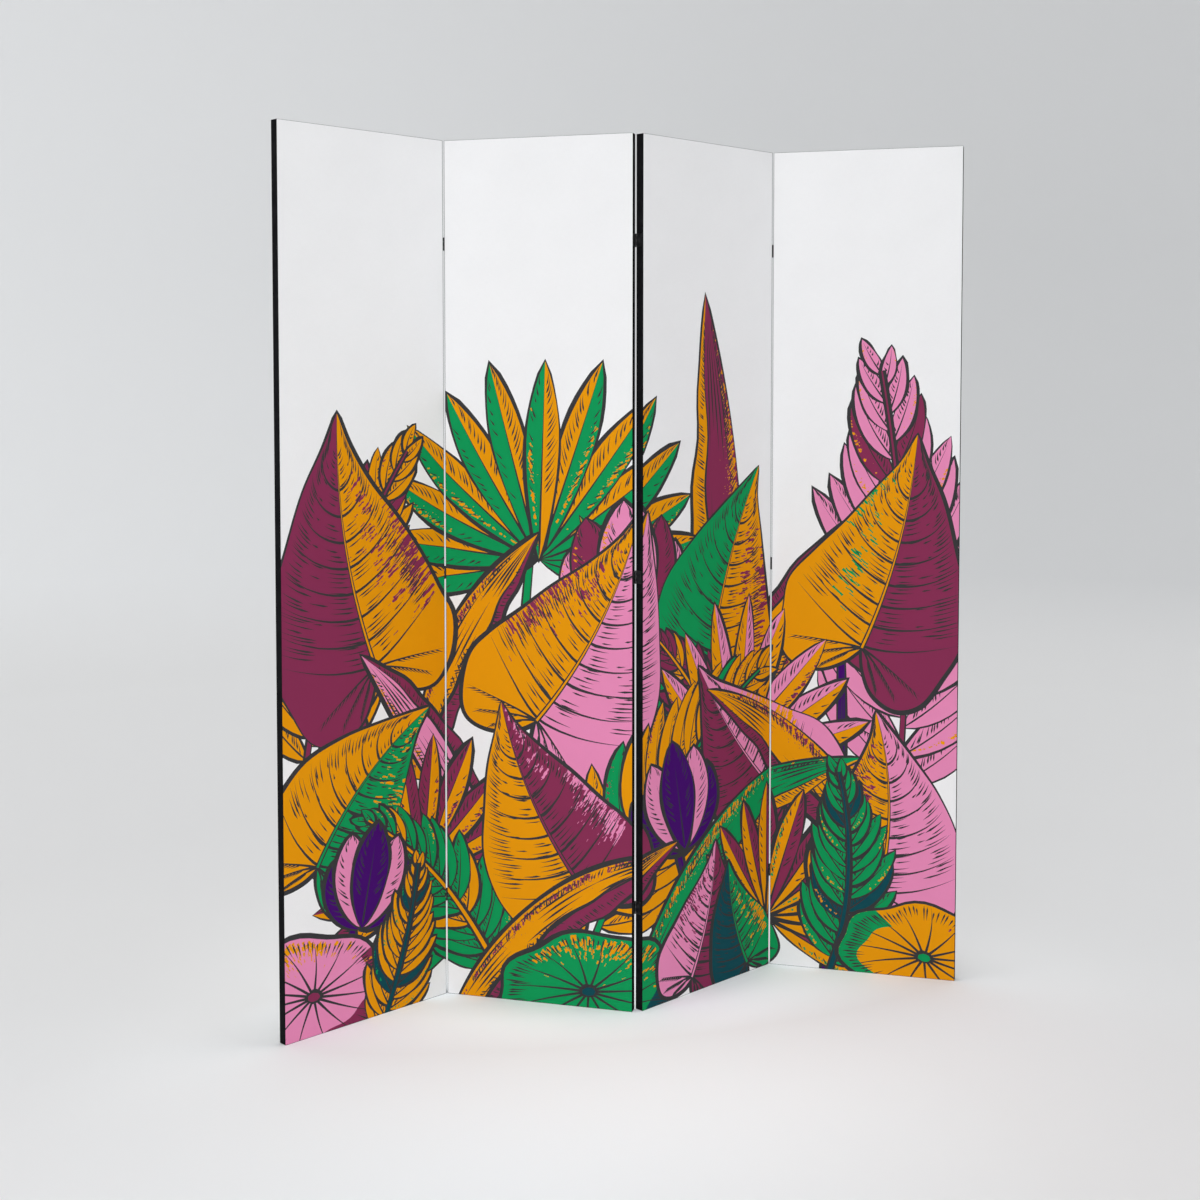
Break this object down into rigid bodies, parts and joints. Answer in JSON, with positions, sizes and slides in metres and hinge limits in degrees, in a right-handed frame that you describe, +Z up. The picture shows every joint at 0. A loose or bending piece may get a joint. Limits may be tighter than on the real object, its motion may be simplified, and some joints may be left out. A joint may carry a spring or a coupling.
{
  "type": "folding room divider",
  "caption": "Folding screen of tall canvas-covered wooden panels, hinged edge to edge so that it stands in a zigzag and folds flat.",
  "frame": {"origin": "middle of the bottom of the screen as it stands, under the middle fold", "axes": "+Z up along the panels, +X to the right along the row of panels, front towards -Y"},
  "size_m": [1.2894, 0.1948, 1.6],
  "materials": {
    "pine": "planed, unpainted",
    "printed_canvas": "matte white woven canvas with a printed leaf pattern",
    "plain_canvas": "matte unprinted woven canvas",
    "black_tape": "matte black woven tape",
    "staple_steel": "galvanised wire",
    "black_hinge_steel": "satin black lacquer",
    "black_screws": "blackened steel"
  },
  "bodies": {
    "panel_1": {"panel_1_left_stile": "pine", "panel_1_right_stile": "pine", "panel_1_top_rail": "pine", "panel_1_bottom_rail": "pine", "panel_1_upper_cross_rail": "pine", "panel_1_lower_cross_rail": "pine", "panel_1_front_canvas": "printed_canvas", "panel_1_back_canvas": "plain_canvas", "panel_1_edge_tape": "black_tape", "panel_1_staples": "staple_steel", "panel_1_hinge_screws": "black_screws", "hinges_1_2_left_leaves": "black_hinge_steel", "hinges_1_2_pins": "black_hinge_steel"},
    "panel_2": {"panel_2_left_stile": "pine", "panel_2_right_stile": "pine", "panel_2_top_rail": "pine", "panel_2_bottom_rail": "pine", "panel_2_upper_cross_rail": "pine", "panel_2_lower_cross_rail": "pine", "panel_2_front_canvas": "printed_canvas", "panel_2_back_canvas": "plain_canvas", "panel_2_edge_tape": "black_tape", "panel_2_staples": "staple_steel", "panel_2_hinge_screws": "black_screws", "hinges_1_2_right_leaves": "black_hinge_steel", "hinges_2_3_left_leaves": "black_hinge_steel", "hinges_2_3_pins": "black_hinge_steel"},
    "panel_3": {"panel_3_left_stile": "pine", "panel_3_right_stile": "pine", "panel_3_top_rail": "pine", "panel_3_bottom_rail": "pine", "panel_3_upper_cross_rail": "pine", "panel_3_lower_cross_rail": "pine", "panel_3_front_canvas": "printed_canvas", "panel_3_back_canvas": "plain_canvas", "panel_3_edge_tape": "black_tape", "panel_3_staples": "staple_steel", "panel_3_hinge_screws": "black_screws", "hinges_2_3_right_leaves": "black_hinge_steel", "hinges_3_4_left_leaves": "black_hinge_steel", "hinges_3_4_pins": "black_hinge_steel"},
    "panel_4": {"panel_4_left_stile": "pine", "panel_4_right_stile": "pine", "panel_4_top_rail": "pine", "panel_4_bottom_rail": "pine", "panel_4_upper_cross_rail": "pine", "panel_4_lower_cross_rail": "pine", "panel_4_front_canvas": "printed_canvas", "panel_4_back_canvas": "plain_canvas", "panel_4_edge_tape": "black_tape", "panel_4_staples": "staple_steel", "panel_4_hinge_screws": "black_screws", "hinges_3_4_right_leaves": "black_hinge_steel"}
  },
  "joints": [
    {"name": "fold_1_2", "type": "hinge", "parent": "panel_2", "child": "panel_1", "pos_m": [-0.32304, 0.08286, 0.8], "axis": [0, 0, 1], "range_deg": [-60, 120]},
    {"name": "fold_2_3", "type": "hinge", "parent": "panel_2", "child": "panel_3", "pos_m": [0, -0.08286, 0.8], "axis": [0, 0, 1], "range_deg": [-60, 120]},
    {"name": "fold_3_4", "type": "hinge", "parent": "panel_3", "child": "panel_4", "pos_m": [0.32304, 0.08286, 0.8], "axis": [0, 0, -1], "range_deg": [-60, 120]}
  ]
}
